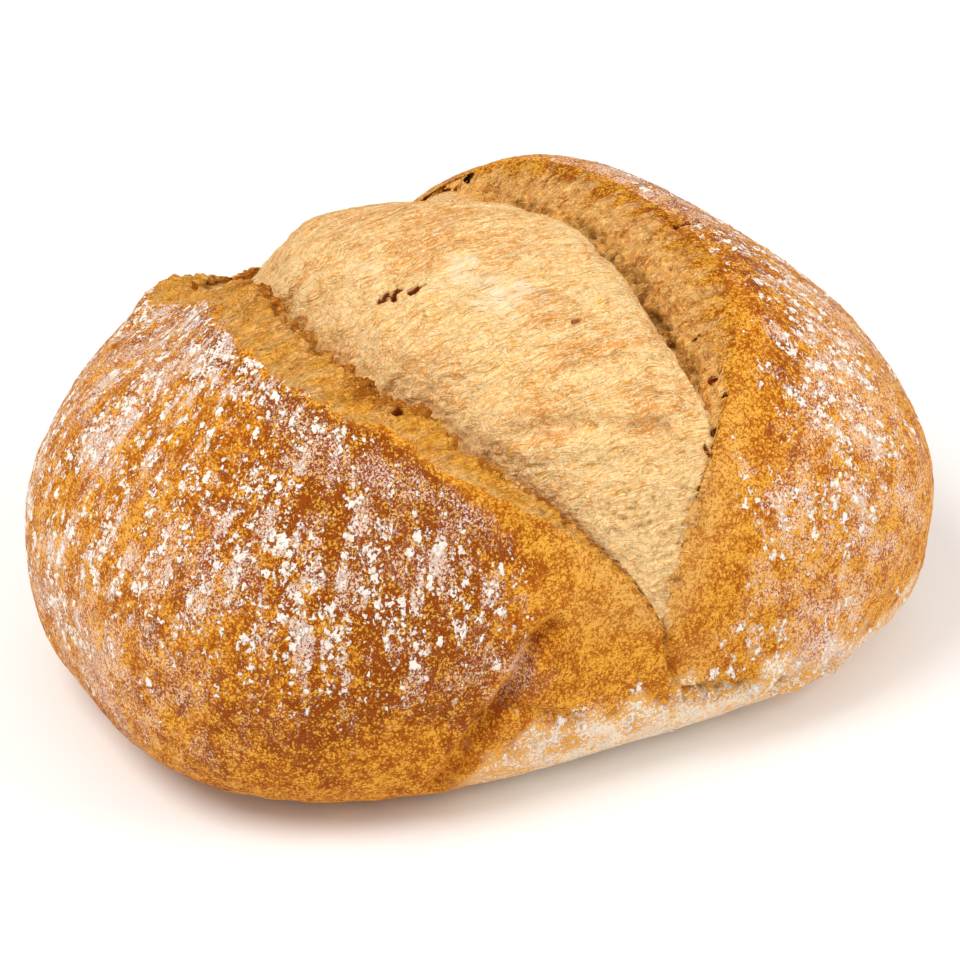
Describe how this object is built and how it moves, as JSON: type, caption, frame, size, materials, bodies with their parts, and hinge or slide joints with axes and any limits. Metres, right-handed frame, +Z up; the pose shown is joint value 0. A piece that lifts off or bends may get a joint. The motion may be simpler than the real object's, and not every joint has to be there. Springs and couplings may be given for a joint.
{
  "type": "rye bread loaf",
  "caption": "Whole free-standing rye bread loaf with a flat base and a floured crust burst open along one score over its crown.",
  "frame": {"origin": "on the floor under the middle of the loaf's bounding box", "axes": "+Z up, +X along the loaf's length towards its fuller lobe, +Y across it towards the back, so the score runs along Y"},
  "size_m": [0.24, 0.1942, 0.1235],
  "materials": {
    "crust": "baked golden-brown crust, satin, dusted with flour",
    "crumb": "torn and lightly toasted crumb, matte, fibrous",
    "flour": "dry flour, matte"
  },
  "bodies": {
    "root": {"loaf": "crust"}
  },
  "joints": []
}
